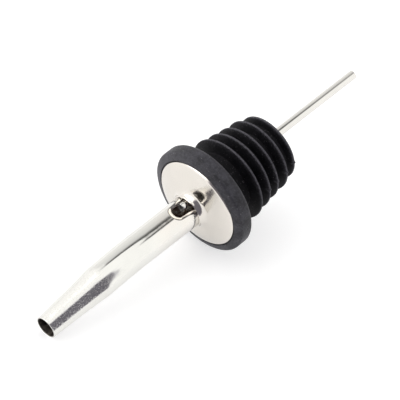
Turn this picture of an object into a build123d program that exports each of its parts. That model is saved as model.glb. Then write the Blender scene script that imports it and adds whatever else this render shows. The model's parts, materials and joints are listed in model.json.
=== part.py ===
from build123d import *
from math import asin, atan2, cos, hypot, radians, sin, tan
import os

# Free-flow pour spout for a spirits bottle: ribbed rubber stopper, domed
# steel cap, bent and tapered steel spout with a vent notch, breather tube.
#
# Millimetres, +Z up.  The part lies the way it rests on a bar top: on the rim
# of the stopper flange and on the tip of the spout, mouth towards -Y and vent
# notch on top.  The origin is the centre of the flange's sealing face.
# Sections are drawn in axis_frame, where x runs along the stopper axis
# towards the bottle and y is the side that the vent notch is on.

os.makedirs("parts", exist_ok=True)

# ---- rubber stopper
FLANGE_R = 15.5
FLANGE_T = 4.9
FLANGE_SIDE = 4.05
FLANGE_FRONT_ROUND = 0.8
FLANGE_BACK_ROUND = 0.9
RECESS_R = 13.15
RECESS_DEPTH = 0.5
NECK_R = 9.2
NECK_ROUND = 1.0
PLUG_LENGTH = 23.5
RIB_POSITIONS = (7.1, 10.94, 14.56, 18.54, 22.52)
RIB_RADII = (12.29, 11.63, 11.12, 10.73, 9.62)
FLOOR_RADII = (9.0, 8.7, 8.4, 8.1, 7.6)
RIB_TIP = 0.3
RIB_FRONT = 1.3
RIB_BACK = 0.85
STEM_BORE_R = 4.52

# ---- domed steel cap
CAP_R = 12.95
CAP_T = 0.7
RIM_ROUND = 0.9
RIM_SWEEP_DEG = 68.0
DOME_RISE = 2.05
DOME_R = 6.2
DOME_BULGE = 0.2
COLLAR_TOP = 3.9
COLLAR_BORE_R = 4.53
COLLAR_R = 4.8
COLLAR_BACK = 2.3

# ---- spout tube
TUBE_R = 4.5
WALL = 0.5
MOUTH_WALL = 0.38
STEM_END = 24.3
FOOT_R = 5.3
RISE_DEG = 2.2
RISE_START = 5.5
RISE_RADIUS = 90.0
BEND_DEG = 8.4
BEND_START = 20.5
BEND_RADIUS = 100.0
TAPER_START = 35.2
TAPER_LENGTH = 19.9
RIDGE_AT = 0.35
RIDGE_R = 4.58
TAPER_RADII = (4.44, 4.165, 3.94, 3.745, 3.585, 3.45, 3.3)
TAPER_STEPS = (1.5, 4.8, 7.8, 10.7, 13.6, 16.3, 18.6)
MOUTH_R = 3.23
MOUTH_CUT_DEG = 3.0

# ---- vent notch in the top of the tube
NOTCH_START = 3.55
NOTCH_END = 10.8
NOTCH_HALF_BACK = 3.75
NOTCH_HALF_MID = 2.75
NOTCH_ROUND = 2.35
NOTCH_FLOOR = 1.2

# ---- breather tube
BREATHER_R = 1.3
BREATHER_BORE_R = 0.95
BREATHER_UP = 2.3
BREATHER_UP_FAR = 2.5
BREATHER_SIDE = -0.95
BREATHER_SIDE_FAR = -0.15
BREATHER_START = 5.5
BREATHER_FAR = 56.4
SOLDER_FROM = 0.4
SOLDER_TO = 3.2
SOLDER_R = 1.5

# ---- how the part lies: flange rim and mouth lip on the same level
front_slope = atan2(FLANGE_T - FLANGE_SIDE, FLANGE_R - RECESS_R)
corner_x = -FLANGE_SIDE + FLANGE_FRONT_ROUND * tan((radians(90) - front_slope) / 2)
corner_d = FLANGE_R - FLANGE_FRONT_ROUND
rise = radians(RISE_DEG)
bend = radians(BEND_DEG)
end_turn = bend - rise

rise_x0 = -FLANGE_T - RISE_START
rise_x1 = rise_x0 - RISE_RADIUS * sin(rise)
rise_y1 = RISE_RADIUS * (1 - cos(rise))
bend_x0 = -FLANGE_T - BEND_START
bend_y0 = rise_y1 + (rise_x1 - bend_x0) * tan(rise)
bend_x1 = bend_x0 - BEND_RADIUS * (sin(rise) + sin(end_turn))
bend_y1 = bend_y0 + BEND_RADIUS * (cos(end_turn) - cos(rise))
taper_x0 = -FLANGE_T - TAPER_START
taper_y0 = bend_y1 - (bend_x1 - taper_x0) * tan(end_turn)
mouth_x = taper_x0 - TAPER_LENGTH * cos(end_turn)
mouth_y = taper_y0 - TAPER_LENGTH * sin(end_turn)
cut_turn = end_turn - radians(MOUTH_CUT_DEG)
lip_x = mouth_x + MOUTH_R * sin(cut_turn)
lip_d = -mouth_y + MOUTH_R * cos(cut_turn)
reach = corner_x - lip_x
drop = corner_d - lip_d
lean = atan2(drop, reach) + asin(FLANGE_FRONT_ROUND / hypot(reach, drop))
floor_z = corner_x * sin(lean) - corner_d * cos(lean) - FLANGE_FRONT_ROUND

axis_frame = Plane(
    origin=(0, 0, 0),
    x_dir=(0, cos(lean), sin(lean)),
    z_dir=(1, 0, 0),
)
stopper_axis = Axis((0, 0, 0), (0, cos(lean), sin(lean)))


def in_part(x, y, side=0.0):
    """The point at section place (x, y), that far towards +X."""
    return axis_frame.from_local_coords(Vector(x, y, side))


def across(x, y, turn=0.0):
    """Plane square to the tube at section place (x, y), facing the mouth."""
    facing = (0, -cos(lean + turn), -sin(lean + turn))
    return Plane(origin=in_part(x, y), x_dir=(1, 0, 0), z_dir=facing)


# ---- centre line of the spout: straight stem, slight rise after the cap,
# downward bend, then straight on to the taper
with BuildLine(axis_frame) as centre_line:
    Line((STEM_END, 0), (rise_x0, 0))
    TangentArc((rise_x0, 0), (rise_x1, rise_y1), tangent=(-1, 0))
    Line((rise_x1, rise_y1), (bend_x0, bend_y0))
    TangentArc(
        (bend_x0, bend_y0),
        (bend_x1, bend_y1),
        tangent=(-cos(rise), sin(rise)),
    )
    Line((bend_x1, bend_y1), (taper_x0, taper_y0))

taper_frame = Plane(
    origin=in_part(taper_x0, taper_y0),
    x_dir=(0, -cos(lean + end_turn), -sin(lean + end_turn)),
    z_dir=(-1, 0, 0),
)
taper_axis = Axis(taper_frame.origin, taper_frame.x_dir)

# the taper's outer outline, from the tube over a low ridge to the mouth
outline = [(0.0, TUBE_R), (RIDGE_AT, RIDGE_R)]
outline += list(zip(TAPER_STEPS, TAPER_RADII))
outline.append((TAPER_LENGTH + 0.6, MOUTH_R))
bore_line = [
    (x, r - WALL + (WALL - MOUTH_WALL) * x / TAPER_LENGTH) for x, r in outline
]

# ---- the steel spout tube, in one piece from the stem's foot to the mouth
with BuildPart() as spout_tube:
    with BuildSketch(across(STEM_END, 0)):
        Circle(TUBE_R)
    sweep(path=centre_line.wire())
    with BuildSketch(taper_frame):
        with BuildLine():
            Polyline((0, 0), *outline[:2])
            Spline(*outline[1:])
            Polyline(outline[-1], (outline[-1][0], 0), (0, 0))
        make_face()
    revolve(axis=taper_axis)
    # the stem's foot is rolled outwards behind the rubber
    with BuildSketch(axis_frame):
        with BuildLine():
            Polyline(
                (STEM_END, 0),
                (STEM_END, FOOT_R),
                (STEM_END - 0.4, FOOT_R),
                (PLUG_LENGTH + 0.05, TUBE_R),
                (PLUG_LENGTH + 0.05, 0),
                close=True,
            )
        make_face()
    revolve(axis=stopper_axis)
    # the bore
    with BuildSketch(across(STEM_END, 0)):
        Circle(TUBE_R - WALL)
    sweep(path=centre_line.wire(), mode=Mode.SUBTRACT)
    with BuildSketch(taper_frame):
        with BuildLine():
            Polyline((0, 0), *bore_line[:2])
            Spline(*bore_line[1:])
            Polyline(bore_line[-1], (bore_line[-1][0], 0), (0, 0))
        make_face()
    revolve(axis=taper_axis, mode=Mode.SUBTRACT)
    # the mouth is cut a little off square
    with BuildSketch(across(mouth_x, mouth_y, cut_turn)):
        Rectangle(20, 20)
    extrude(amount=5, mode=Mode.SUBTRACT)
    # the vent notch, open to the side that faces up
    notch_frame = Plane(
        origin=in_part(-FLANGE_T, NOTCH_FLOOR),
        x_dir=(0, -cos(lean), -sin(lean)),
        z_dir=(0, -sin(lean), cos(lean)),
    )
    nose = NOTCH_END - NOTCH_ROUND
    with BuildSketch(notch_frame):
        with BuildLine():
            Line((NOTCH_START, -NOTCH_HALF_BACK), (NOTCH_START, NOTCH_HALF_BACK))
            Spline(
                (NOTCH_START, NOTCH_HALF_BACK),
                (NOTCH_START + 1.7, NOTCH_HALF_MID),
                (nose, NOTCH_ROUND),
            )
            ThreePointArc(
                (nose, NOTCH_ROUND),
                (NOTCH_END, 0),
                (nose, -NOTCH_ROUND),
            )
            Spline(
                (nose, -NOTCH_ROUND),
                (NOTCH_START + 1.7, -NOTCH_HALF_MID),
                (NOTCH_START, -NOTCH_HALF_BACK),
            )
        make_face()
    extrude(amount=8, mode=Mode.SUBTRACT)

spout_tube.part.label = "spout_tube"
export_step(spout_tube.part, "parts/spout_tube.step")

# ---- the domed cap: a pressed disc with a short collar round the tube
rim_x = -FLANGE_T + RECESS_DEPTH
rim_sweep = radians(RIM_SWEEP_DEG)
rim_top_x = rim_x - RIM_ROUND * sin(rim_sweep)
rim_top_r = CAP_R - RIM_ROUND * (1 - cos(rim_sweep))
rim_mid_x = rim_x - RIM_ROUND * sin(rim_sweep / 2)
rim_mid_r = CAP_R - RIM_ROUND * (1 - cos(rim_sweep / 2))
dome_x = -FLANGE_T - DOME_RISE
collar_x = -FLANGE_T - COLLAR_TOP
back_x = -FLANGE_T - COLLAR_BACK
half_r = (rim_top_r + DOME_R) / 2
half_x = (rim_top_x + dome_x) / 2 - DOME_BULGE
with BuildPart() as cap_disc:
    with BuildSketch(axis_frame):
        with BuildLine():
            ThreePointArc(
                (rim_x, CAP_R),
                (rim_mid_x, rim_mid_r),
                (rim_top_x, rim_top_r),
            )
            ThreePointArc(
                (rim_top_x, rim_top_r),
                (half_x, half_r),
                (dome_x, DOME_R),
            )
            ThreePointArc(
                (dome_x, DOME_R),
                (dome_x - 0.62, DOME_R - 0.98),
                (dome_x - 1.65, COLLAR_R),
            )
            Polyline(
                (dome_x - 1.65, COLLAR_R),
                (collar_x, COLLAR_R - 0.03),
                (collar_x, COLLAR_BORE_R),
                (back_x, COLLAR_BORE_R),
                (dome_x + CAP_T, DOME_R),
            )
            ThreePointArc(
                (dome_x + CAP_T, DOME_R),
                (half_x + CAP_T, half_r),
                (rim_x, CAP_R - CAP_T),
            )
            Line((rim_x, CAP_R - CAP_T), (rim_x, CAP_R))
        make_face()
    revolve(axis=stopper_axis)

cap_disc.part.label = "cap_disc"
export_step(cap_disc.part, "parts/cap_disc.step")

# ---- the ring of solder behind the cap, between its collar and the tube
ring_gap = 0.02
with BuildPart() as cap_solder:
    with BuildSketch(axis_frame):
        with BuildLine():
            Polyline(
                (back_x + ring_gap, TUBE_R + ring_gap),
                (dome_x + CAP_T + ring_gap, DOME_R - 0.3),
                (dome_x + CAP_T + 0.35, DOME_R - 0.55),
                (dome_x + CAP_T + 0.6, TUBE_R + ring_gap),
                close=True,
            )
        make_face()
    revolve(axis=stopper_axis)

cap_solder.part.label = "cap_solder"
export_step(cap_solder.part, "parts/cap_solder.step")

# ---- the rubber stopper: flange, neck and five thin ribs
with BuildPart() as stopper:
    with BuildSketch(axis_frame) as half_section:
        with BuildLine():
            Polyline(
                (-FLANGE_T, RECESS_R),
                (-FLANGE_SIDE, FLANGE_R),
                (0, FLANGE_R),
                (0, NECK_R),
                (PLUG_LENGTH, FLOOR_RADII[-1]),
                (PLUG_LENGTH, STEM_BORE_R),
                (rim_x, STEM_BORE_R),
                (rim_x, RECESS_R),
                close=True,
            )
        make_face()
        corners = half_section.vertices().filter_by_position(
            Axis.Y, FLANGE_R - 0.01, FLANGE_R + 0.01
        )
        fillet(corners.sort_by(Axis.X)[0], FLANGE_FRONT_ROUND)
        corners = half_section.vertices().filter_by_position(
            Axis.Y, FLANGE_R - 0.01, FLANGE_R + 0.01
        )
        fillet(corners.sort_by(Axis.X)[-1], FLANGE_BACK_ROUND)
        neck_corner = half_section.vertices().sort_by_distance((0, NECK_R))[0]
        fillet(neck_corner, NECK_ROUND)
        for x, crest, foot in zip(RIB_POSITIONS, RIB_RADII, FLOOR_RADII):
            end = min(x + RIB_BACK, PLUG_LENGTH)
            with BuildLine():
                Polyline(
                    (x - RIB_FRONT, foot - 0.6),
                    (x - RIB_TIP, crest),
                    (x + RIB_TIP, crest),
                    (end, foot - 0.6),
                    close=True,
                )
            make_face()
        for x, crest in zip(RIB_POSITIONS, RIB_RADII):
            tips = half_section.vertices().filter_by_position(
                Axis.Y, crest - 0.01, crest + 0.01
            )
            fillet(tips, RIB_TIP * 0.85)
    revolve(axis=stopper_axis)

stopper.part.label = "stopper"
export_step(stopper.part, "parts/stopper.step")

# ---- the breather tube, nearly parallel to the stopper axis
breather_near = in_part(-FLANGE_T - BREATHER_START, BREATHER_UP, BREATHER_SIDE)
breather_far = in_part(BREATHER_FAR, BREATHER_UP_FAR, BREATHER_SIDE_FAR)
breather_way = breather_far - breather_near
breather_frame = Plane(origin=breather_near, z_dir=breather_way)
with BuildPart() as breather_tube:
    with BuildSketch(breather_frame):
        Circle(BREATHER_R)
        Circle(BREATHER_BORE_R, mode=Mode.SUBTRACT)
    extrude(amount=breather_way.length)

breather_tube.part.label = "breather_tube"
export_step(breather_tube.part, "parts/breather_tube.step")

# ---- the bead of solder that holds the breather tube to the spout's wall
toward = hypot(BREATHER_UP, BREATHER_SIDE)
contact_r = TUBE_R - WALL
bead_at = (BREATHER_SIDE * contact_r / toward, BREATHER_UP * contact_r / toward)
bead_frame = Plane(
    origin=in_part(-FLANGE_T - SOLDER_FROM, 0),
    x_dir=(1, 0, 0),
    z_dir=(0, -cos(lean), -sin(lean)),
)
with BuildPart() as breather_solder:
    with BuildSketch(bead_frame):
        Circle(contact_r - 0.01)
        with Locations(bead_at):
            Circle(SOLDER_R, mode=Mode.INTERSECT)
    extrude(amount=SOLDER_TO - SOLDER_FROM)
    with BuildSketch(breather_frame):
        Circle(BREATHER_R + 0.01)
    extrude(amount=breather_way.length, mode=Mode.SUBTRACT)

breather_solder.part.label = "breather_solder"
export_step(breather_solder.part, "parts/breather_solder.step")
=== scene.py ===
"""Free-flow pour spout, lying on a pale surface.

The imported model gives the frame: +Z up, origin at the centre of the
stopper flange's sealing face.  Shapes are drawn in millimetres in the
stopper's own directions and turned into metres when a mesh is made.
"""
import json
import math

import bmesh
import bpy
from mathutils import Matrix, Vector


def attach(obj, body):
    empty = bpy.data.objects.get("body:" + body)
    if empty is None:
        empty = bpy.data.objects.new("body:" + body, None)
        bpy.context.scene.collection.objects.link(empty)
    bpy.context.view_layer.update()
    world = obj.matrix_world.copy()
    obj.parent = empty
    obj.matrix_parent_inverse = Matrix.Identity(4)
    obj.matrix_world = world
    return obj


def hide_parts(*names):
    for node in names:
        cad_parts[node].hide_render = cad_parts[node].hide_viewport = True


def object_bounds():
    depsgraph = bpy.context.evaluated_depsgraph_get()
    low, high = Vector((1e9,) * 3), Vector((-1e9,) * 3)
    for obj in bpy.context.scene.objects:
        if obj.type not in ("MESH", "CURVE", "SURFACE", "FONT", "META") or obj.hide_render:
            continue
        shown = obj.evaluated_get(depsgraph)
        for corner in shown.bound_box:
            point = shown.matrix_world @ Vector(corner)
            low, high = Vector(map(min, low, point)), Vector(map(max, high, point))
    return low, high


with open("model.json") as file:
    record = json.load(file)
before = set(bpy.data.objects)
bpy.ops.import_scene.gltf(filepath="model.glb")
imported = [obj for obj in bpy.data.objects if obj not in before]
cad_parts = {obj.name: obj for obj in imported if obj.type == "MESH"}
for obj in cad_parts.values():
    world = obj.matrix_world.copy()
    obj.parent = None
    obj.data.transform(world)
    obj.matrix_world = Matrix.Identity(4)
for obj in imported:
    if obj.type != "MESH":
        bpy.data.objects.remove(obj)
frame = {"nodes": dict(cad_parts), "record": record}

cad_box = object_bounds()
MM = 0.001
FULL_TURN = 2 * math.pi
EVEN = (1, 1, 1)

mounts = {m["name"]: m for m in frame["record"]["mounts"]}
AXIS = Vector(mounts["bottle_neck"]["axis"]).normalized()
UP = Vector((0.0, -AXIS.z, AXIS.y))
SIDE = Vector((1.0, 0.0, 0.0))


def place(x, y, side=0.0):
    """Metres, from x along the stopper axis, y towards the notch, side to +X."""
    return (AXIS * x + UP * y + SIDE * side) * MM


# ---------------------------------------------------------------- dimensions
# Along the stopper's axis, x is 0 at the sealing face, positive towards the
# bottle end and negative towards the mouth.

# stopper
FLANGE_R = 15.5
FLANGE_T = 4.9
FLANGE_SIDE = 4.05
FLANGE_FRONT_ROUND = 0.8
FLANGE_BACK_ROUND = 0.9
RECESS_R = 13.15
RECESS_DEPTH = 0.5
RECESS_ROUND = 0.12
NECK_R = 9.2
NECK_ROUND = 1.0
PLUG_LENGTH = 23.5
PLUG_END_R = 7.6
PLUG_END_ROUND = 0.1
STEM_BORE_R = 4.52
RIBS = (  # x, crest radius, foot radius; the sides are drawn from below the foot
    (7.1, 12.29, 9.0),
    (10.94, 11.63, 8.7),
    (14.56, 11.12, 8.4),
    (18.54, 10.73, 8.1),
    (22.52, 9.62, 7.6),
)
RIB_TIP = 0.3
RIB_FRONT = 1.3
RIB_BACK = 0.85
RIB_SUNK = 0.6
RIB_ROUND = 0.25
PARTING = (math.radians(72), math.radians(252))
FLASH_HEIGHT = 0.3
FLASH_SPREAD = 0.035  # radians

# domed cap, with a collar round the tube
CAP_R = 12.95
CAP_T = 0.7
RIM_ROUND = 0.9
RIM_SWEEP = math.radians(68)
DOME_R = 6.2
DOME_RISE = 2.05
DOME_CROWN = 0.2
COLLAR_RISE = 1.65
COLLAR_R = 4.8
COLLAR_HOLLOW = (0.62, 0.98)
COLLAR_EDGE = ((-8.72, 4.77), (-8.8, 4.7))
COLLAR_BORE = ((-8.8, 4.53), (-7.2, 4.53))

# spout tube
TUBE_R = 4.5
WALL = 0.5
MOUTH_WALL = 0.38
STEM_END = 24.3
FOOT_R = 5.3
FOOT_T = 0.4
FOOT_GAP = 0.05
FOOT_END = STEM_END - PLUG_LENGTH - FOOT_GAP
RISE = math.radians(2.2)
RISE_START = 5.5
RISE_RADIUS = 90.0
BEND = math.radians(8.4)
BEND_START = 20.5
BEND_RADIUS = 100.0
END_TURN = BEND - RISE
TAPER_START = 34.4
TAPER_LENGTH = 20.7
TAPER = (  # distance from the taper's start, outer radius
    (-0.5, 4.5),
    (0.0, 4.5),
    (1.2, 4.499),
    (2.0, 4.485),
    (2.9, 4.43),
    (5.6, 4.165),
    (8.6, 3.94),
    (11.5, 3.745),
    (14.4, 3.585),
    (17.1, 3.45),
    (19.4, 3.3),
    (21.3, 3.23),
)
MOUTH_CUT = math.radians(3.0)
BORE_TOLERANCE = 0.04

# vent notch: its side is (distance from the flange's front, half width), and
# its turned-in lip is (share of the reach, depth under the tube's outside)
NOTCH_START = 3.55
NOTCH_END = 10.8
NOTCH_SIDE = ((3.55, 3.75), (5.25, 2.75), (8.45, 2.35))
LIP = ((0.15, 0.05), (0.4, 0.14), (0.75, 0.3), (0.95, 0.46), (1.0, 0.64), (0.8, 0.78), (0.4, 0.66))
# painted shade on the notch's lip: a share for the outer edge and each lip point
LIP_SHADE = (1.0, 0.4, 0.16, 0.12, 0.14, 0.3, 0.5, 0.6)
LIP_REACH = 0.6
LIP_MORE_AT_NOSE = 0.65
LIP_LESS_AT_LEFT = 0.2

# breather tube
BREATHER_R = 1.3
BREATHER_BORE_R = 0.95
BREATHER_NEAR = (-FLANGE_T - 5.5, 2.3, -0.95)
BREATHER_FAR = (56.4, 2.5, -0.15)
BREATHER_EDGE = 0.1
BREATHER_BORE_EDGE = 0.06
TINNED = 1.4

# mesh fineness
NOTCH_STEPS = 14
STEM_STEPS = 34
BEND_STEPS = 50
TAPER_STEPS = 60
ROW_STEPS = 48
LID_STEPS = 10
CAP_SEGMENTS = 192
STOPPER_SEGMENTS = 360
BREATHER_SEGMENTS = 48


# ------------------------------------------------------------------- outlines
def clamped(value):
    return max(0.0, min(1.0, value))


def smooth_through(points, x):
    """Height at x of a smooth line through points sorted by x."""
    last = len(points) - 2
    i = 0
    while i < last and x > points[i + 1][0]:
        i += 1
    x0, y0 = points[i]
    x1, y1 = points[i + 1]
    step = (y1 - y0) / (x1 - x0)
    slopes = []
    for k in (i, i + 1):
        a = points[max(k - 1, 0)]
        b = points[min(k + 1, len(points) - 1)]
        slopes.append((b[1] - a[1]) / (b[0] - a[0]))
    u = (x - x0) / (x1 - x0)
    span = x1 - x0
    bend_a = slopes[0] - step
    bend_b = slopes[1] - step
    curve = u * (1 - u) * ((1 - u) * bend_a - u * bend_b) * span
    return y0 + step * span * u + curve


def arc(start, middle, end, count):
    """Points on the circle through three points, both ends included."""
    ax, ay = start
    bx, by = middle
    cx, cy = end
    d = 2 * (ax * (by - cy) + bx * (cy - ay) + cx * (ay - by))
    a2 = ax * ax + ay * ay
    b2 = bx * bx + by * by
    c2 = cx * cx + cy * cy
    ox = (a2 * (by - cy) + b2 * (cy - ay) + c2 * (ay - by)) / d
    oy = (a2 * (cx - bx) + b2 * (ax - cx) + c2 * (bx - ax)) / d
    r = math.hypot(ax - ox, ay - oy)
    t0 = math.atan2(ay - oy, ax - ox)
    t1 = math.atan2(by - oy, bx - ox)
    t2 = math.atan2(cy - oy, cx - ox)
    way = (t2 - t0) % FULL_TURN
    if (t1 - t0) % FULL_TURN > way:
        way -= FULL_TURN
    points = []
    for i in range(count + 1):
        t = t0 + way * i / count
        points.append((ox + r * math.cos(t), oy + r * math.sin(t)))
    return points


def rounded(corners, steps=5):
    """Outline through corners (x, y, radius), each turned by its radius."""
    line = []
    n = len(corners)
    for i, (x, y, r) in enumerate(corners):
        here = Vector((x, y))
        if r == 0:
            line.append((x, y))
            continue
        a = (Vector(corners[i - 1][:2]) - here).normalized()
        b = (Vector(corners[(i + 1) % n][:2]) - here).normalized()
        half = a.angle(b) / 2
        reach = r / math.tan(half)
        centre = here + (a + b).normalized() * (r / math.sin(half))
        p0 = here + a * reach
        p1 = here + b * reach
        middle = centre + (here - centre).normalized() * r
        line += arc(tuple(p0), tuple(middle), tuple(p1), steps)
    return line


def stations(start, end, count):
    """Evenly spaced places after start, up to and including end."""
    return [start + (end - start) * i / count for i in range(1, count + 1)]


# --------------------------------------------------------------------- meshes
def make_object(name, bm, node, slot, angle, *materials):
    """A piece that stands for a CAD node and rides on the root body."""
    bmesh.ops.remove_doubles(bm, verts=bm.verts, dist=1e-8)
    bmesh.ops.recalc_face_normals(bm, faces=bm.faces)
    mesh = bpy.data.meshes.new(name)
    bm.to_mesh(mesh)
    bm.free()
    mesh.polygons.foreach_set("use_smooth", [True] * len(mesh.polygons))
    mesh.set_sharp_from_angle(angle=math.radians(angle))
    obj = bpy.data.objects.new(name, mesh)
    bpy.context.scene.collection.objects.link(obj)
    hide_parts(node)
    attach(obj, "root")
    for material in materials:
        mesh.materials.append(material)
    return obj


def join(bm, a, b):
    """Faces between two rows of points, as far as the shorter one goes."""
    for j in range(min(len(a), len(b)) - 1):
        bm.faces.new((a[j], a[j + 1], b[j + 1], b[j]))


def lathe(outline, segments, shape=None, put=place):
    """Turns a closed outline of (x, r) about the axis that put uses."""
    bm = bmesh.new()
    rings = []
    for k in range(segments):
        turn = FULL_TURN * k / segments
        ring = []
        for x, r in outline:
            if shape:
                x, r = shape(x, r, turn)
            ring.append(bm.verts.new(put(x, r * math.cos(turn), r * math.sin(turn))))
        rings.append(ring + ring[:1])
    for k in range(segments):
        join(bm, rings[k], rings[(k + 1) % segments])
    return bm


def soften(obj, width, angle):
    """Rounds the piece's sharp edges a little."""
    bevel = obj.modifiers.new("edge_round", "BEVEL")
    bevel.width = width * MM
    bevel.segments = 3
    bevel.limit_method = "ANGLE"
    bevel.angle_limit = math.radians(angle)
    bevel.harden_normals = True


def mark(obj, name, amount):
    """Stores a value for each point, from its place x, radius r and turn."""
    layer = obj.data.attributes.new(name, "FLOAT", "POINT")
    values = []
    for vertex in obj.data.vertices:
        spot = vertex.co / MM
        x = spot.dot(AXIS)
        r = math.hypot(spot.dot(UP), spot.x)
        turn = math.atan2(spot.x, spot.dot(UP))
        values.append(amount(x, r, turn))
    layer.data.foreach_set("value", values)


# --------------------------------------------------------- the spout's course
rise_x0 = -FLANGE_T - RISE_START
rise_x1 = rise_x0 - RISE_RADIUS * math.sin(RISE)
bend_x0 = -FLANGE_T - BEND_START
bend_x1 = bend_x0 - BEND_RADIUS * (math.sin(RISE) + math.sin(END_TURN))
taper_x0 = -FLANGE_T - TAPER_START
COURSE = (  # length, change of heading per millimetre
    (STEM_END - rise_x0, 0.0),
    (RISE_RADIUS * RISE, -1 / RISE_RADIUS),
    ((rise_x1 - bend_x0) / math.cos(RISE), 0.0),
    (BEND_RADIUS * BEND, 1 / BEND_RADIUS),
    ((bend_x1 - taper_x0) / math.cos(END_TURN), 0.0),
    (TAPER_LENGTH, 0.0),
)
TAPER_AT = sum(length for length, _ in COURSE[:-1])
MOUTH_AT = TAPER_AT + TAPER_LENGTH
CAP_AT = STEM_END + FLANGE_T


def course(t):
    """Centre and downward heading of the spout, t along it from the foot."""
    x = STEM_END
    y = 0.0
    heading = 0.0
    for length, curve in COURSE:
        part = min(t, length)
        t -= part
        if curve == 0:
            x -= part * math.cos(heading)
            y -= part * math.sin(heading)
        else:
            turned = heading + part * curve
            x -= (math.sin(turned) - math.sin(heading)) / curve
            y += (math.cos(turned) - math.cos(heading)) / curve
            heading = turned
        if t <= 0:
            break
    return x, y, heading


def outer_radius(t):
    """The foot is rolled outwards, and the taper narrows to the mouth."""
    if t < FOOT_T:
        return FOOT_R
    if t < FOOT_END:
        return FOOT_R + (TUBE_R - FOOT_R) * (t - FOOT_T) / (FOOT_END - FOOT_T)
    if t <= TAPER_AT:
        return TUBE_R
    return smooth_through(TAPER, t - TAPER_AT)


def inner_radius(t):
    """The wall thins along the taper."""
    if t <= TAPER_AT:
        return TUBE_R - WALL
    s = t - TAPER_AT
    return smooth_through(TAPER, s) - WALL + (WALL - MOUTH_WALL) * s / TAPER_LENGTH


def on_tube(t, radius, turn, cut=False):
    """Point on the tube; turn 0 is the notch side, positive towards +X."""
    x, y, heading = course(t)
    lift = radius * math.cos(turn)
    slide = lift * math.tan(MOUTH_CUT) if cut else 0.0
    x += -lift * math.sin(heading) + slide * math.cos(heading)
    y += lift * math.cos(heading) + slide * math.sin(heading)
    return place(x, y, radius * math.sin(turn))


def notch_edge():
    """Half of the notch's outline, as (distance from the flange, half width)."""
    nose_start, nose_w = NOTCH_SIDE[-1]
    nose_r = NOTCH_END - nose_start
    edge = []
    for i in range(NOTCH_STEPS + 1):
        h = NOTCH_START + (nose_start - NOTCH_START) * i / NOTCH_STEPS
        edge.append((h, smooth_through(NOTCH_SIDE, h)))
    for i in range(1, NOTCH_STEPS + 1):
        a = math.pi / 2 * i / NOTCH_STEPS
        edge.append((nose_start + nose_r * math.sin(a), nose_w * math.cos(a)))
    return edge


def tube_rings(edge):
    """Each ring's place t, and the notch's half width there.

    Up to the notch the width is None.  Such a ring is whole, but made of a
    row and a lid as wide as the notch, so that its points meet the edge.
    """
    rings = [(t, None) for t in (0.0, FOOT_T, FOOT_END)]
    rings += [(t, None) for t in stations(FOOT_END, CAP_AT + NOTCH_START, STEM_STEPS)]
    rings += [(CAP_AT + h, w) for h, w in edge[1:]]
    rings += [(t, 0.0) for t in stations(CAP_AT + NOTCH_END, TAPER_AT, BEND_STEPS)]
    rings += [(t, 0.0) for t in stations(TAPER_AT, MOUTH_AT, TAPER_STEPS)]
    return rings


def half_skin(bm, rings, notch_w, side, radius_at):
    """One side of the outer or inner skin, as a (row, lid) for each ring."""
    half = []
    for k, (t, width) in enumerate(rings):
        r = radius_at(t)
        w = notch_w if width is None else width
        gap = math.asin(w / r) if w > 0 else 0.0
        at_mouth = k == len(rings) - 1
        turns = [gap + (math.pi - gap) * j / ROW_STEPS for j in range(ROW_STEPS + 1)]
        row = [bm.verts.new(on_tube(t, r, side * turn, at_mouth)) for turn in turns]
        lid = []
        if width is None:
            turns = [gap * j / LID_STEPS for j in range(LID_STEPS + 1)]
            lid = [bm.verts.new(on_tube(t, r, side * turn)) for turn in turns]
        if half:
            join(bm, half[-1][0], row)
            join(bm, half[-1][1], lid)
        half.append((row, lid))
    return half


def turn_in_lip(bm, edge, outer, inner, side, crease_shade):
    """The notch's lip, turned in from the outer skin's edge to the inner's."""
    before = None
    last = len(edge) - 1
    for k, (h, w) in enumerate(edge):
        arc_at = TUBE_R * math.asin(w / TUBE_R)
        h0, w0 = edge[max(k - 1, 0)]
        h1, w1 = edge[min(k + 1, last)]
        dh = h1 - h0
        dw = TUBE_R * (math.asin(w1 / TUBE_R) - math.asin(w0 / TUBE_R))
        if k == last:
            dh, dw = 0.0, -1.0
        size = math.hypot(dh, dw)
        into_h, into_w = dw / size, -dh / size
        toward_nose = max(0.0, -into_h)
        reach = LIP_REACH + LIP_MORE_AT_NOSE * toward_nose
        if side < 0:
            reach -= LIP_LESS_AT_LEFT * (1 - toward_nose)
        row = [outer[k][0][0]]
        for u, drop in LIP:
            at = CAP_AT + h + into_h * u * reach
            turn = (arc_at + into_w * u * reach) / TUBE_R
            row.append(bm.verts.new(on_tube(at, TUBE_R - drop, side * turn)))
        # each point of the lip gets its share of painted shade
        for vertex, lip_shade_share in zip(row, LIP_SHADE):
            vertex[crease_shade] = lip_shade_share
        row.append(inner[k][0][0])
        if before is None:
            bm.faces.new(row)
        else:
            join(bm, before, row)
        before = row


def build_spout():
    """One closed skin: outside, inside, mouth lip, foot and notch edge."""
    edge = notch_edge()
    rings = tube_rings(edge)
    notch_w = edge[0][1]
    back = sum(1 for _, width in rings if width is None) - 1
    bm = bmesh.new()
    crease_shade = bm.verts.layers.float.new("crease_shade")
    for side in (1, -1):
        outer = half_skin(bm, rings, notch_w, side, outer_radius)
        inner = half_skin(bm, rings, notch_w, side, inner_radius)
        for end in (0, -1):
            for part in (0, 1):
                join(bm, outer[end][part], inner[end][part])
        join(bm, outer[back][1], inner[back][1])
        turn_in_lip(bm, edge, outer[back:], inner[back:], side, crease_shade)
    return bm


def paint_bore(obj):
    """Second material on the faces that look towards the tube's centre line."""
    for face in obj.data.polygons:
        along = (face.center / MM).dot(AXIS)
        t = STEM_END - along
        for _ in range(3):
            x, y, heading = course(t)
            t += (x - along) / math.cos(heading)
        x, y, heading = course(t)
        outward = face.center - place(x, y)
        off = outward.length / MM - inner_radius(min(t, MOUTH_AT))
        if abs(off) < BORE_TOLERANCE and face.normal.dot(outward) < 0:
            face.material_index = 1


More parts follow.
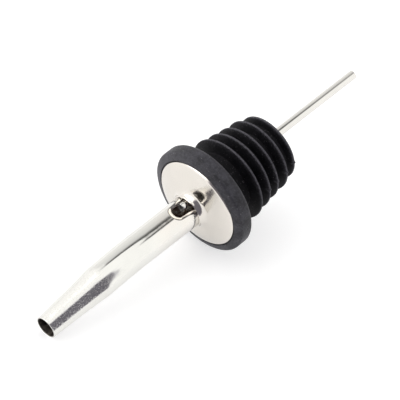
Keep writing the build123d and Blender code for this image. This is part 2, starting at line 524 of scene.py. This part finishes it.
# ---------------------------------------------------------------------- nodes
def math_node(tree, operation, *values):
    """One Math node; each value is a number or an output."""
    node = tree.nodes.new("ShaderNodeMath")
    node.operation = operation
    for i, value in enumerate(values):
        if isinstance(value, (int, float)):
            node.inputs[i].default_value = value
        else:
            tree.links.new(value, node.inputs[i])
    return node.outputs["Value"]


def product(tree, *values):
    result = values[0]
    for value in values[1:]:
        result = math_node(tree, "MULTIPLY", result, value)
    return result


def step_up(tree, value, start, end):
    """Smooth 0 to 1 as the value goes from start to end."""
    node = tree.nodes.new("ShaderNodeMapRange")
    node.interpolation_type = "SMOOTHSTEP"
    node.inputs["From Min"].default_value = start
    node.inputs["From Max"].default_value = end
    tree.links.new(value, node.inputs["Value"])
    return node.outputs["Result"]


def between(tree, value, low, high, soft_low, soft_high):
    """1 between low and high, with soft edges of the widths given."""
    rising = step_up(tree, value, low - soft_low / 2, low + soft_low / 2)
    falling = step_up(tree, value, high + soft_high / 2, high - soft_high / 2)
    return product(tree, rising, falling)


def spread(tree, source, low, high, start=0.0, end=1.0):
    """Maps start to end of a signal to the range low to high."""
    node = tree.nodes.new("ShaderNodeMapRange")
    node.inputs["From Min"].default_value = start
    node.inputs["From Max"].default_value = end
    node.inputs["To Min"].default_value = low
    node.inputs["To Max"].default_value = high
    tree.links.new(source, node.inputs["Value"])
    return node.outputs["Result"]


def noise(tree, scale, stretch=EVEN, detail=4.0, rough=0.55):
    """Noise over the object's own coordinates, scale in cycles per mm."""
    coords = tree.nodes.new("ShaderNodeTexCoord")
    mapping = tree.nodes.new("ShaderNodeMapping")
    mapping.inputs["Scale"].default_value = stretch
    tree.links.new(coords.outputs["Object"], mapping.inputs["Vector"])
    tex = tree.nodes.new("ShaderNodeTexNoise")
    tex.inputs["Scale"].default_value = scale / MM
    tex.inputs["Detail"].default_value = detail
    tex.inputs["Roughness"].default_value = rough
    tree.links.new(mapping.outputs["Vector"], tex.inputs["Vector"])
    return tex.outputs["Fac"]


def bump(tree, shader, *heights):
    """Chains bumps, each (height output, depth in mm)."""
    normal = None
    for source, depth in heights:
        node = tree.nodes.new("ShaderNodeBump")
        node.inputs["Distance"].default_value = depth * MM
        node.inputs["Strength"].default_value = 1.0
        tree.links.new(source, node.inputs["Height"])
        if normal:
            tree.links.new(normal, node.inputs["Normal"])
        normal = node.outputs["Normal"]
    tree.links.new(normal, shader.inputs["Normal"])


def two_tone(tree, source, first, second, start=0.3, end=0.7):
    """First colour up to start, second colour from end on."""
    ramp = tree.nodes.new("ShaderNodeValToRGB")
    ramp.color_ramp.elements[0].position = start
    ramp.color_ramp.elements[0].color = (*first, 1.0)
    ramp.color_ramp.elements[1].position = end
    ramp.color_ramp.elements[1].color = (*second, 1.0)
    tree.links.new(source, ramp.inputs["Fac"])
    return ramp.outputs["Color"]


def blend(tree, factor, first, second):
    """Mixes two colours, each an output or an (r, g, b)."""
    mix = tree.nodes.new("ShaderNodeMix")
    mix.data_type = "RGBA"
    tree.links.new(factor, mix.inputs["Factor"])
    for socket, value in (("A", first), ("B", second)):
        if isinstance(value, tuple):
            mix.inputs[socket].default_value = (*value, 1.0)
        else:
            tree.links.new(value, mix.inputs[socket])
    return mix.outputs["Result"]


def attribute(tree, name):
    """A value that the mesh carries at each point."""
    node = tree.nodes.new("ShaderNodeAttribute")
    node.attribute_name = name
    return node.outputs["Fac"]


def node_material(name):
    mat = bpy.data.materials.new(name)
    mat.use_nodes = True
    tree = mat.node_tree
    shader = next(n for n in tree.nodes if n.type == "BSDF_PRINCIPLED")
    return mat, tree, shader


# ------------------------------------------------------------------ materials
SPOUT_TINT = (0.755, 0.75, 0.715)
CAP_TINT = (0.725, 0.69, 0.638)
BREATHER_TINT = (0.73, 0.715, 0.68)
DRAWN_LENGTHWISE = (1.0, 0.12, 1.0)
DRAWN_THIN = (1.0, 0.1, 1.0)
SCUFFED_DARK = (0.69, 0.68, 0.65)
SCUFFED_LIGHT = (0.76, 0.755, 0.72)
HEAT_TINT = (0.72, 0.66, 0.6)
# colour of the painted shade on the notch's lip and in its crease
CREASE_SHADE_COLOUR = (0.1, 0.085, 0.08)
STAIN_DARK = (0.05, 0.043, 0.038)
STAIN_LIGHT = (0.26, 0.225, 0.19)
FLUX_BROWN = (0.3, 0.22, 0.17)
FLUX_WHITE = (0.97, 0.94, 0.88)
FLANGE_BLACK = (0.013, 0.0125, 0.016)
FLANGE_DUSTY = (0.048, 0.0465, 0.057)
# the ribs are the flange's rubber painted darker: painted shade on the ribs
RIB_SHADED_BLACK = (0.0035, 0.0034, 0.0042)
RIB_DUSTY_SHADED = (0.009, 0.0086, 0.0106)
# chalky wear mixed with a painted highlight on the rib crests and painted light on the flange
CHALK_AND_SHEEN = (0.08, 0.078, 0.09)
SPECK = (0.3, 0.29, 0.3)
SOLDER_DARK = (0.55, 0.54, 0.51)
SOLDER_LIGHT = (0.86, 0.85, 0.81)


def steel(name, tint, rough, wave, stretch=EVEN, used=False):
    """Polished stainless steel with faint polishing marks and waviness.

    A used one is scuffed on the taper, tinted by the soldering heat round
    the notch, and has painted shade on the notch's lip and in its crease.
    """
    mat, tree, shader = node_material(name)
    shader.inputs["Metallic"].default_value = 1.0
    grain = noise(tree, 1.6, stretch, detail=6.0, rough=0.65)
    cloud = noise(tree, 0.09, detail=3.0)
    darker = tuple(c * 0.93 for c in tint)
    colour = two_tone(tree, cloud, darker, tint)
    roughness = spread(tree, grain, rough * 0.6, rough * 1.5, 0.3, 0.7)
    if used:
        scuffs = noise(tree, 2.4, detail=5.0, rough=0.7)
        scuff = product(tree, attribute(tree, "scuff"), step_up(tree, scuffs, 0.4, 0.66))
        roughness = math_node(tree, "ADD", roughness, product(tree, scuff, 0.2))
        dulled = two_tone(tree, scuffs, SCUFFED_DARK, SCUFFED_LIGHT, 0.36, 0.6)
        colour = blend(tree, attribute(tree, "scuff"), colour, dulled)
        heat = product(tree, attribute(tree, "soldered"), step_up(tree, cloud, 0.2, 0.7), 0.55)
        colour = blend(tree, heat, colour, HEAT_TINT)
        # painted shade on the notch's lip and in its crease
        crease_shade = product(tree, attribute(tree, "crease_shade"), 0.85)
        colour = blend(tree, crease_shade, colour, CREASE_SHADE_COLOUR)
    tree.links.new(colour, shader.inputs["Base Color"])
    tree.links.new(roughness, shader.inputs["Roughness"])
    bump(tree, shader, (cloud, wave), (grain, 0.0012))
    return mat


def bore_metal():
    """Unpolished inside of the tube, stained, with flux near the solder."""
    mat, tree, shader = node_material("bore_steel")
    cloud = noise(tree, 0.9, (1, 0.5, 1), detail=6.0, rough=0.65)
    stained = two_tone(tree, cloud, STAIN_DARK, STAIN_LIGHT, 0.4, 0.7)
    fluxed = two_tone(tree, cloud, FLUX_BROWN, FLUX_WHITE, 0.46, 0.56)
    heat = attribute(tree, "soldered")
    colour = blend(tree, heat, stained, fluxed)
    tree.links.new(colour, shader.inputs["Base Color"])
    metal = spread(tree, heat, 0.7, 0.05)
    tree.links.new(metal, shader.inputs["Metallic"])
    roughness = spread(tree, cloud, 0.3, 0.5, 0.3, 0.7)
    tree.links.new(roughness, shader.inputs["Roughness"])
    bump(tree, shader, (cloud, 0.06))
    return mat


def rubber(name, deep, dusty, gloss, speckle):
    """Moulded black rubber with a fine grain, dusty with painted highlight where it stands proud."""
    mat, tree, shader = node_material(name)
    grain = noise(tree, 2.2, detail=5.0, rough=0.7)
    cloud = noise(tree, 0.25)
    mottle = noise(tree, 1.5, detail=6.0, rough=0.75)
    dust = noise(tree, 2.6, detail=2.0, rough=0.5)
    patches = product(tree, math_node(tree, "ADD", cloud, mottle), 0.5)
    base = two_tone(tree, patches, deep, dusty, 0.41, 0.59)
    # wear mixed with painted highlight on the crests, and painted light on one side of the flange's front
    chalk_and_sheen = step_up(tree, product(tree, attribute(tree, "wear_and_painted_light"), grain), 0.2, 0.62)
    worn_and_lit = blend(tree, chalk_and_sheen, base, CHALK_AND_SHEEN)
    speck = product(tree, step_up(tree, dust, 0.67, 0.72), speckle)
    colour = blend(tree, speck, worn_and_lit, SPECK)
    tree.links.new(colour, shader.inputs["Base Color"])
    roughness = spread(tree, grain, 0.45, 0.65, 0.3, 0.7)
    tree.links.new(roughness, shader.inputs["Roughness"])
    shader.inputs["Specular IOR Level"].default_value = gloss
    bump(tree, shader, (cloud, 0.05), (grain, 0.035))
    return mat


def solder():
    mat, tree, shader = node_material("dull_solder")
    shader.inputs["Metallic"].default_value = 0.7
    cloud = noise(tree, 0.8, detail=5.0)
    colour = two_tone(tree, cloud, SOLDER_DARK, SOLDER_LIGHT)
    tree.links.new(colour, shader.inputs["Base Color"])
    roughness = spread(tree, cloud, 0.28, 0.5, 0.3, 0.7)
    tree.links.new(roughness, shader.inputs["Roughness"])
    bump(tree, shader, (cloud, 0.06))
    return mat


spout_steel = steel("spout_steel", SPOUT_TINT, 0.09, 0.05, DRAWN_LENGTHWISE, used=True)
cap_steel = steel("cap_steel", CAP_TINT, 0.14, 0.05)
breather_steel = steel("breather_steel", BREATHER_TINT, 0.12, 0.02, DRAWN_THIN)
bore_steel = bore_metal()
flange_rubber = rubber("flange_rubber", FLANGE_BLACK, FLANGE_DUSTY, gloss=0.3, speckle=0.35)
# the rib rubber is a darker copy of the flange's: painted shade on the ribs
rib_rubber_painted_shade = rubber("rib_rubber_painted_shade", RIB_SHADED_BLACK, RIB_DUSTY_SHADED, gloss=0.1, speckle=0.25)
tin_solder = solder()


# ------------------------------------------------------------------ the spout
SCUFF_FADE = 2.5
HEAT_REACH = 10
HEAT_FADE = 9


def taper_scuff(x, r, turn):
    """Scuffed from the taper's start to the mouth."""
    return clamped((taper_x0 - x) / SCUFF_FADE)


def solder_heat(x, r, turn):
    """Tinted round the notch, fading towards the bend."""
    fade_end = -FLANGE_T - NOTCH_END - HEAT_REACH
    return clamped((x - fade_end) / HEAT_FADE)


spout = make_object("spout_skin", build_spout(), "spout_tube", "spout_steel", 30, spout_steel, bore_steel)
paint_bore(spout)
mark(spout, "scuff", taper_scuff)
mark(spout, "soldered", solder_heat)
soften(spout, 0.1, 50)


# -------------------------------------------------------------------- the cap
rim_x = -FLANGE_T + RECESS_DEPTH
dome_x = -FLANGE_T - DOME_RISE


def cap_outline():
    """Rim, dome and collar on the outside, then back along the inside."""
    rim = []
    for a in (0.0, RIM_SWEEP / 2, RIM_SWEEP):
        rim.append((rim_x - RIM_ROUND * math.sin(a), CAP_R - RIM_ROUND * (1 - math.cos(a))))
    top_x, top_r = rim[-1]
    half_x = (top_x + dome_x) / 2 - DOME_CROWN
    half_r = (top_r + DOME_R) / 2
    hollow_x, hollow_r = COLLAR_HOLLOW
    dome = (dome_x, DOME_R)
    hollow = (dome_x - hollow_x, DOME_R - hollow_r)
    collar = (dome_x - COLLAR_RISE, COLLAR_R)
    dome_back = (dome_x + CAP_T, DOME_R)
    line = arc(*rim, 8)
    line += arc(rim[-1], (half_x, half_r), dome, 24)[1:]
    line += arc(dome, hollow, collar, 12)[1:]
    line += [*COLLAR_EDGE, *COLLAR_BORE, dome_back]
    line += arc(dome_back, (half_x + CAP_T, half_r), (rim_x, CAP_R - CAP_T), 12)[1:]
    return line


make_object("cap_skin", lathe(cap_outline(), CAP_SEGMENTS), "cap_disc", "cap_steel", 40, cap_steel)


# ---------------------------------------------------------------- the stopper
# the flange's front is left in painted shade round this turn
SHADED_SIDE_TURN = math.radians(75)
BEHIND_FLANGE = 0.4
RIBBED_FROM = 0.6
WORN_AND_LIT_DEPTH = 0.5


def groove_floor(x):
    """Radius of the plug between its ribs, a cone from neck to far end."""
    return NECK_R + (PLUG_END_R - NECK_R) * x / PLUG_LENGTH


def rib_foot(base, tip):
    """Where a rib's side, a line from base to tip, comes out of the plug."""
    under = base[1] - groove_floor(base[0])
    over = tip[1] - groove_floor(tip[0])
    u = under / (under - over)
    return base[0] + (tip[0] - base[0]) * u, base[1] + (tip[1] - base[1]) * u


def stopper_outline():
    """Flange, neck, five ribs and the bore, with the cap's recess."""
    corners = [
        (-FLANGE_T, RECESS_R, RECESS_ROUND),
        (-FLANGE_SIDE, FLANGE_R, FLANGE_FRONT_ROUND),
        (0, FLANGE_R, FLANGE_BACK_ROUND),
        (0, NECK_R, NECK_ROUND),
    ]
    for x, crest, foot in RIBS:
        near_foot = rib_foot((x - RIB_FRONT, foot - RIB_SUNK), (x - RIB_TIP, crest))
        far_foot = rib_foot((x + RIB_BACK, foot - RIB_SUNK), (x + RIB_TIP, crest))
        far_round = min(RIB_ROUND, (PLUG_LENGTH - far_foot[0]) / 2)
        corners.append((*near_foot, RIB_ROUND))
        corners.append((x - RIB_TIP, crest, RIB_ROUND))
        corners.append((x + RIB_TIP, crest, RIB_ROUND))
        corners.append((*far_foot, far_round))
    corners.append((PLUG_LENGTH, PLUG_END_R, PLUG_END_ROUND))
    corners.append((PLUG_LENGTH, STEM_BORE_R, 0))
    corners.append((rim_x, STEM_BORE_R, 0))
    corners.append((rim_x, RECESS_R, 0))
    return rounded(corners)


def flash_nubs(x, r, turn):
    """Small tags of flash where the mould's halves meet on the rib crests."""
    for rib_x, crest, _ in RIBS[1:]:
        if abs(x - rib_x) < 0.7 and r > crest - 0.45:
            for at in PARTING:
                off = (turn - at + math.pi) % FULL_TURN - math.pi
                r += FLASH_HEIGHT * math.exp(-((off / FLASH_SPREAD) ** 2))
    return x, r


def plug_wear_and_painted_light(x, r, turn):
    """Worn on the rib crests, with painted highlight there; dusty on the flange's front, with painted
    light away from +X and painted shade towards +X.
    """
    if x < BEHIND_FLANGE:
        front = clamped((-x - 3.2) / 0.8)
        away = 0.5 - 0.5 * math.cos(turn - SHADED_SIDE_TURN)
        return 0.2 + (0.1 + 0.6 * away) * front
    for rib_x, crest, _ in RIBS:
        if abs(x - rib_x) < 0.75 and r > crest - WORN_AND_LIT_DEPTH:
            return min(1.0, 1.0 - (crest - r) / WORN_AND_LIT_DEPTH)
    return 0.0


plug_mesh = lathe(stopper_outline(), STOPPER_SEGMENTS, flash_nubs)
plug = make_object("stopper_skin", plug_mesh, "stopper", "stopper_rubber", 50, flange_rubber, rib_rubber_painted_shade)
mark(plug, "wear_and_painted_light", plug_wear_and_painted_light)
# the ribs get the darker copy of the rubber: painted shade
for face in plug.data.polygons:
    if (face.center / MM).dot(AXIS) > RIBBED_FROM:
        face.material_index = 1


# ----------------------------------------------------------- the breather tube
near = place(*BREATHER_NEAR)
far = place(*BREATHER_FAR)
toward_far = (far - near).normalized().to_track_quat("Z", "Y").to_matrix()


def on_breather(x, y, side):
    """Point x along the breather tube from its near end, y and side off it."""
    return near + toward_far @ (Vector((y, side, x)) * MM)


length = (far - near).length / MM
breather_line = rounded(
    [
        (0, BREATHER_BORE_R, BREATHER_BORE_EDGE),
        (0, BREATHER_R, BREATHER_EDGE),
        (TINNED, BREATHER_R, 0),
        (length, BREATHER_R, BREATHER_EDGE),
        (length, BREATHER_BORE_R, BREATHER_BORE_EDGE),
        (TINNED, BREATHER_BORE_R, 0),
    ],
    4,
)
breather_mesh = lathe(breather_line, BREATHER_SEGMENTS, put=on_breather)
breather = make_object(
    "breather_skin", breather_mesh, "breather_tube", "breather_steel", 60, breather_steel, tin_solder
)
for face in breather.data.polygons:
    if (face.center - near).length < TINNED * MM:
        face.material_index = 1

# the two solder joints keep their CAD shape
for name in ("cap_solder", "breather_solder"):
    node = frame["nodes"][name]
    node.data.materials.clear()
    node.data.materials.append(tin_solder)

# ---------------------------------------------------------------------- floor
# It gives off a little light of its own, so that it burns out to white.
FLOOR_SIZE = 6.0
FLOOR_GREY = (0.6, 0.6, 0.6)
FLOOR_PALE = (0.62, 0.62, 0.62)
FLOOR_GLOW = 0.54
low = cad_box[0]
bpy.ops.mesh.primitive_plane_add(size=FLOOR_SIZE, location=(0, 0, low.z))
floor = bpy.context.object
floor.name = "floor"
floor_mat, tree, shader = node_material("pale_floor")
cloud = noise(tree, 0.004, detail=2.0)
colour = two_tone(tree, cloud, FLOOR_GREY, FLOOR_PALE)
tree.links.new(colour, shader.inputs["Base Color"])
shader.inputs["Roughness"].default_value = 0.6
shader.inputs["Emission Color"].default_value = (1.0, 1.0, 1.0, 1.0)
shader.inputs["Emission Strength"].default_value = FLOOR_GLOW
floor.data.materials.append(floor_mat)

# --------------------------------------------------------------------- camera
AIM = place(-3.79, 0.63)
AZIMUTH = math.radians(26.07)
ELEVATION = math.radians(46.82)
ROLL = math.radians(22.0)
DISTANCE = 0.7
LENS = 240.66
back = Vector(
    (
        math.sin(AZIMUTH) * math.cos(ELEVATION),
        -math.cos(AZIMUTH) * math.cos(ELEVATION),
        math.sin(ELEVATION),
    )
)
camera = bpy.data.objects.new("camera", bpy.data.cameras.new("camera"))
bpy.context.scene.collection.objects.link(camera)
camera.data.sensor_width = 36.0
camera.data.lens = LENS
camera.data.clip_end = 20.0
facing = (-back).to_track_quat("-Z", "Y").to_matrix().to_4x4()
stand = Matrix.Translation(AIM + back * DISTANCE)
camera.matrix_world = stand @ facing @ Matrix.Rotation(ROLL, 4, "Z")
bpy.context.scene.camera = camera

# --------------------------------------------------------------------- lights
# A white tent.  It is open in front, to the right of the spout.  Its rear
# left wall is in shade, and a lamp shines from the left.  Bearings are
# radians from the front, positive to the right; heights are sines of the
# angle above the floor.
FRONT_GAP = (math.radians(-5), math.radians(105.5))
FRONT_TOP = math.sin(math.radians(70.5))
GAP_DEPTH = 0.855
TENT_WHITE = (1.0, 0.995, 0.985)
GAP_SLATE = (0.97, 0.92, 1.1)
WALL_START = math.radians(-103)
WALL_SPAN = math.radians(95)
WALL_TOP = (0.868, 0.945)
WALL_TOP_SPAN = math.radians(80)
WALL_SHADE = 0.15
LONG_FADE = (0.75, 0.2)
SHORT_FADE = (0.18, 0.62)
LAMP_ACROSS = (math.radians(-78), math.radians(-14))
LAMP_UP = (0.3, 0.92)
LAMP_STRENGTH = 1.1
SKY_STRENGTH = 1.3

world = bpy.data.worlds.new("studio")
bpy.context.scene.world = world
world.use_nodes = True
sky = world.node_tree

coords = sky.nodes.new("ShaderNodeTexCoord")
split = sky.nodes.new("ShaderNodeSeparateXYZ")
sky.links.new(coords.outputs["Generated"], split.inputs["Vector"])
toward_front = math_node(sky, "MULTIPLY", split.outputs["Y"], -1.0)
bearing = math_node(sky, "ARCTAN2", split.outputs["X"], toward_front)
height = split.outputs["Z"]

gap_across = between(sky, bearing, *FRONT_GAP, 0.2, 0.05)
gap_up = between(sky, height, 0.0, FRONT_TOP, 0.05, 0.02)
gap = product(sky, gap_across, gap_up, GAP_DEPTH)

# the rear wall goes round the back from its start; its top edge rises along
# it, and its shade is deepest just below that edge
past_corner = math_node(sky, "SUBTRACT", WALL_START, bearing)
along_wall = math_node(sky, "WRAP", past_corner, FULL_TURN, 0.0)
wall_across = between(sky, along_wall, 0.0, WALL_SPAN, 0.08, 0.3)
wall_top = spread(sky, along_wall, *WALL_TOP, 0.0, WALL_TOP_SPAN)
below_top = math_node(sky, "SUBTRACT", wall_top, height)
wall_edge = step_up(sky, below_top, -0.01, 0.014)
fades = []
for reach, depth in (LONG_FADE, SHORT_FADE):
    fades.append(product(sky, step_up(sky, below_top, reach, 0.0), depth))
wall_shade = math_node(sky, "ADD", math_node(sky, "ADD", *fades), WALL_SHADE)
wall = product(sky, wall_across, wall_edge, wall_shade)

open_gap = math_node(sky, "SUBTRACT", 1.0, gap)
lit_wall = math_node(sky, "SUBTRACT", 1.0, wall)
tent = product(sky, open_gap, lit_wall)
lamp_across = between(sky, bearing, *LAMP_ACROSS, 0.3, 0.2)
lamp_up = between(sky, height, *LAMP_UP, 0.3, 0.1)
lamp = product(sky, lamp_across, lamp_up, LAMP_STRENGTH)
brightness = math_node(sky, "ADD", tent, lamp)
surface = sky.nodes["Background"]
tint = blend(sky, gap, TENT_WHITE, GAP_SLATE)
sky.links.new(tint, surface.inputs["Color"])
strength = product(sky, brightness, SKY_STRENGTH)
sky.links.new(strength, surface.inputs["Strength"])

# what the lens sees past the floor's edge is plain white
seen = sky.nodes.new("ShaderNodeBackground")
seen.inputs["Color"].default_value = (1.0, 1.0, 1.0, 1.0)
seen.inputs["Strength"].default_value = 1.0
ray = sky.nodes.new("ShaderNodeLightPath")
choice = sky.nodes.new("ShaderNodeMixShader")
sky.links.new(ray.outputs["Is Camera Ray"], choice.inputs["Fac"])
sky.links.new(surface.outputs["Background"], choice.inputs[1])
sky.links.new(seen.outputs["Background"], choice.inputs[2])
sky.links.new(choice.outputs["Shader"], sky.nodes["World Output"].inputs["Surface"])

bpy.context.scene.view_settings.view_transform = "Standard"
